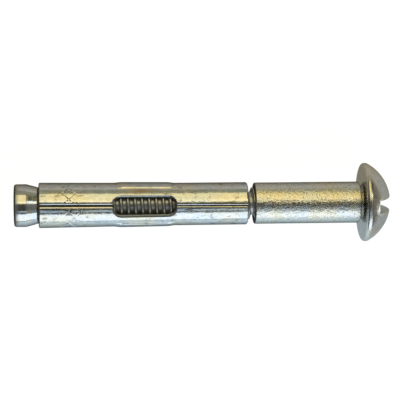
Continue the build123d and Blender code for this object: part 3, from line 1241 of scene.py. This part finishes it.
        # Painted shade: the outside darkens towards the seam's lips, the window's -Y side, the mouth and
        # the rear end; the mouth darkens inside too; the cut walls darken towards the bore, except on the
        # window's raw side.
        unshaded_side, raw_side = self.window_sides(sizes, outline)
        reach = np.maximum(self.EDGE_SHADE_SHARE * roundings, self.LEAST_EDGE_SHADE)[nearest]
        edge_shade = np.zeros(len(blank))
        edge_shade[:shift] = fading(distance, self.FULL_EDGE_SHADE * reach, reach) * ~unshaded_side[nearest]
        from_mouth = blank[:, 0] - sizes.start
        edge_shade = np.maximum(edge_shade, fading(from_mouth, sizes.mouth_round / 3, sizes.mouth_round))
        edge_shade[inner_edge] = ~raw_side
        store(mesh, "painted_edge_shade", edge_shade)
        raw = np.zeros(len(blank))
        raw[outer_edge] = raw_side
        raw[inner_edge] = raw_side
        store(mesh, "raw_cut", raw)
        along = (blank[:, 0] - sizes.stain_station) / sizes.stain_length
        around = (blank[:, 1] - sizes.stain_from_seam) / sizes.stain_width
        store(mesh, "stain", np.exp(-(along**2 + around**2)))
        return mesh

    def window_sides(self, sizes, outline):
        """Which outline points lie on the window's side towards +Y, which gets no painted edge shade, and
        on its raw side.
        """
        along, around = outline.T
        girth = math.pi * sizes.diameter
        from_seam = np.minimum(around, girth - around)
        past_start = along > sizes.window_start - self.OUTLINE_STEP
        past_end = along > sizes.window_end + self.OUTLINE_STEP
        window = (from_seam > self.LIP_END) & past_start & ~past_end
        raw = window & (around > girth / 2)
        return window & ~raw, raw


# Each softbox: tilt from the vertical towards +Y and half its spread, in degrees;
# where it starts and ends along the anchor; and its brightness.
SOFTBOXES = {
    "warm_softbox": (40.5, 25, -0.22, 0.05, (1.10, 0.95, 0.50)),
    "gold_softbox": (40.5, 25, 0.05, 0.13, (1.00, 0.825, 0.335)),
    "cream_strip": (22, 5, -0.22, 0.13, (0.34, 0.37, 0.36)),
    "olive_fill": (79, 12, -0.30, 0.30, (0.23, 0.23, 0.15)),
    "cream_spot": (24, 7, 0.15, 0.31, (2.1, 2.05, 1.75)),
    "taper_fill": (-5, 40, 0.15, 0.31, (0.16, 0.165, 0.15)),
    "cool_softbox": (-65, 22, -0.10, 0.30, (1.18, 1.34, 1.50)),
    "cool_strip": (-28, 4, -0.06, 0.13, (0.56, 0.74, 0.86)),
}
# Each card beside the head: where it stands, its width and height, and its brightness.
CARDS = {
    "head_fill": ((0.40, 0.0, 0.14), 0.5, 0.27, (0.11, 0.105, 0.07)),
    "head_glint": ((0.075, -0.011, 0.011), 0.010, 0.007, (3.5, 3.6, 3.5)),
}
# The floor's own glow, which the camera sees only in reflections: warm on the +Y
# side and cool on the other, each from close by to further off; past the tip;
# and past the head. Close by the glow is dimmer: a painted shadow under the anchor.
GLOW = {
    "warm_near": (0.26, 0.245, 0.21, 1),
    "warm_far": (0.40, 0.385, 0.36, 1),
    "cool_near": (0.40, 0.48, 0.58, 1),
    "cool_far": (0.62, 0.80, 0.90, 1),
    "tip": (0.05, 0.05, 0.045, 1),
    "warm_head": (0.36, 0.355, 0.335, 1),
    "cool_head": (0.36, 0.39, 0.41, 1),
}
# Where one glow passes over into the next: across the axis, away from it to both
# sides, and along it past the tip and past the head.
ACROSS_AXIS = (-0.004, 0.004)
AWAY_FROM_AXIS = (0.003, 0.03)
PAST_TIP = (-0.034, -0.028)
PAST_HEAD = (0.029, 0.036)
# Floor and room as the camera sees them, and the room as reflections show it.
SEEN_FLOOR = (0.95, 0.95, 0.95, 1)
SEEN_ROOM = (1, 1, 1, 1)
DIM_ROOM = (0.06, 0.06, 0.055, 1)
FLOOR_COLOUR = (0.2, 0.2, 0.2, 1)
FLOOR_ROUGHNESS = 0.9
FLOOR_RADIUS = 4
CLIP_START = 0.01


class ANCHOR_OT_set_stage(bpy.types.Operator):
    """Sets the floor, the lights and the camera"""

    bl_idname = "anchor.set_stage"
    bl_label = "Set Stage"

    def execute(self, context):
        stage = context.scene.anchor_stage
        matrix = placement(context.scene.anchor_bolt)
        along, side, up = (matrix.to_3x3().col[k] for k in range(3))
        aim = matrix @ Vector((stage.aim, 0, 0))
        self.camera(context, stage, along, side, up, aim)
        self.floor(context)
        self.world(context)
        for name, settings in SOFTBOXES.items():
            self.softbox(context, name, stage, aim, *settings)
        head = matrix @ Vector((context.scene.anchor_bolt.bearing_face, 0, 0))
        for name, (place, width, height, radiance) in CARDS.items():
            back = (Vector(place) - head).normalized()
            self.light(context, name, Vector(place), Vector((0, 1, 0)), back, width, height, radiance)
        context.scene.view_settings.view_transform = "Standard"
        return {"FINISHED"}

    def camera(self, context, stage, along, side, up, aim):
        """Looks down on the seam, with the head end leaning away."""
        back = up * math.cos(stage.lean) + side * math.sin(stage.lean)
        back = back * math.cos(stage.recede) - along * math.sin(stage.recede)
        right = (along - back * along.dot(back)).normalized()
        right = Matrix.Rotation(-stage.roll, 3, back) @ right
        upward = back.cross(right)
        turn = Matrix((right, upward, back)).transposed().to_4x4()
        data = bpy.data.cameras.new("camera")
        data.lens = stage.lens
        data.clip_start = CLIP_START
        camera = bpy.data.objects.new("camera", data)
        place = aim + upward * stage.aim_side + back * stage.distance
        camera.matrix_world = Matrix.Translation(place) @ turn
        context.scene.collection.objects.link(camera)
        context.scene.camera = camera

    def softbox(self, context, name, stage, aim, tilt, spread, start, end, radiance):
        """A long soft light beside the anchor, tilted from the vertical towards +Y."""
        back = Vector((0, math.sin(math.radians(tilt)), math.cos(math.radians(tilt))))
        place = aim + back * stage.light_distance
        place.x = (start + end) / 2
        height = 2 * stage.light_distance * math.tan(math.radians(spread))
        self.light(context, name, place, Vector((1, 0, 0)), back, end - start, height, radiance)

    def light(self, context, name, place, right, back, width, height, radiance):
        """A flat light of even brightness that faces away from its back."""
        data = bpy.data.lights.new(name, "AREA")
        data.shape = "RECTANGLE"
        data.size, data.size_y = width, height
        data.color = radiance
        data.energy = math.pi * width * height
        light = bpy.data.objects.new(name, data)
        right = (right - back * right.dot(back)).normalized()
        turn = Matrix((right, back.cross(right), back)).transposed().to_4x4()
        light.matrix_world = Matrix.Translation(place) @ turn
        light.visible_camera = False
        context.scene.collection.objects.link(light)

    def floor(self, context):
        """A wide pale floor that the camera sees as white."""
        mesh = bpy.data.meshes.new("floor")
        shape = bmesh.new()
        bmesh.ops.create_circle(shape, cap_ends=True, segments=SEGMENTS, radius=FLOOR_RADIUS)
        shape.to_mesh(mesh)
        shape.free()
        material = bpy.data.materials.new("pale_floor")
        material.use_nodes = True
        nodes = Nodes(material.node_tree)
        shader = material.node_tree.nodes["Principled BSDF"]
        shader.inputs["Base Color"].default_value = FLOOR_COLOUR
        shader.inputs["Roughness"].default_value = FLOOR_ROUGHNESS
        shader.inputs["Specular IOR Level"].default_value = 0.0
        x, y, _ = nodes.split(nodes.add("ShaderNodeTexCoord").outputs["Object"])
        cool = nodes.ramp(y, *ACROSS_AXIS, 1.0, 0.0, smooth=True)
        away = nodes.ramp(nodes.math("ABSOLUTE", y), *AWAY_FROM_AXIS)
        warm_side = nodes.blend(away, GLOW["warm_near"], GLOW["warm_far"])
        cool_side = nodes.blend(away, GLOW["cool_near"], GLOW["cool_far"])
        glow = nodes.blend(cool, warm_side, cool_side)
        glow = nodes.blend(nodes.ramp(x, *PAST_TIP), GLOW["tip"], glow)
        beyond = nodes.blend(cool, GLOW["warm_head"], GLOW["cool_head"])
        glow = nodes.blend(nodes.ramp(x, *PAST_HEAD), glow, beyond)
        seen = nodes.add("ShaderNodeLightPath").outputs["Is Camera Ray"]
        nodes.feed(shader.inputs["Emission Color"], nodes.blend(seen, glow, SEEN_FLOOR))
        shader.inputs["Emission Strength"].default_value = 1.0
        mesh.materials.append(material)
        floor = bpy.data.objects.new("floor", mesh)
        context.scene.collection.objects.link(floor)

    def world(self, context):
        """A dim room for the reflections, seen as white by the camera."""
        world = bpy.data.worlds.new("studio")
        world.use_nodes = True
        nodes = Nodes(world.node_tree)
        seen = nodes.add("ShaderNodeLightPath").outputs["Is Camera Ray"]
        background = world.node_tree.nodes["Background"]
        nodes.feed(background.inputs["Color"], nodes.blend(seen, DIM_ROOM, SEEN_ROOM))
        context.scene.world = world


class ANCHOR_PT_pieces(bpy.types.Panel):
    """Lists the anchor's sizes and the steps that make it"""

    bl_idname = "ANCHOR_PT_pieces"
    bl_label = "Sleeve Anchor"
    bl_space_type = "VIEW_3D"
    bl_region_type = "UI"
    bl_category = "Anchor"

    def draw(self, context):
        for name, group, operator in STEPS:
            box = self.layout.box()
            for size in group.__annotations__:
                box.prop(getattr(context.scene, name), size)
            if operator:
                box.operator(operator.bl_idname)


# Each group of settings: its name on the scene, its class and the operator that uses it.
STEPS = [
    ("anchor_colours", PlatingColours, None),
    ("anchor_bolt", BoltSizes, ANCHOR_OT_make_bolt),
    ("anchor_nut", NutSizes, ANCHOR_OT_make_cone_nut),
    ("anchor_score", ScoreSizes, None),
    ("anchor_sleeve", SleeveSizes, ANCHOR_OT_make_expansion_sleeve),
    ("anchor_spacer", SpacerSizes, ANCHOR_OT_make_spacer_sleeve),
    ("anchor_stage", StageSettings, ANCHOR_OT_set_stage),
]
CLASSES = [group for _, group, _ in STEPS]
CLASSES += [operator for _, _, operator in STEPS if operator]
CLASSES.append(ANCHOR_PT_pieces)


def register():
    """Registers every class and hangs the settings on the scene."""
    for kind in CLASSES:
        bpy.utils.register_class(kind)
    for name, group, _ in STEPS:
        setattr(bpy.types.Scene, name, PointerProperty(type=group))


def unregister():
    """Takes back what register did."""
    for name, _, _ in STEPS:
        delattr(bpy.types.Scene, name)
    for kind in reversed(CLASSES):
        bpy.utils.unregister_class(kind)


def main():
    """Makes the anchor and its stage."""
    register()
    bpy.ops.anchor.make_bolt()
    bpy.ops.anchor.make_cone_nut()
    bpy.ops.anchor.make_expansion_sleeve()
    bpy.ops.anchor.make_spacer_sleeve()
    bpy.ops.anchor.set_stage()


if __name__ == "__main__":
    main()
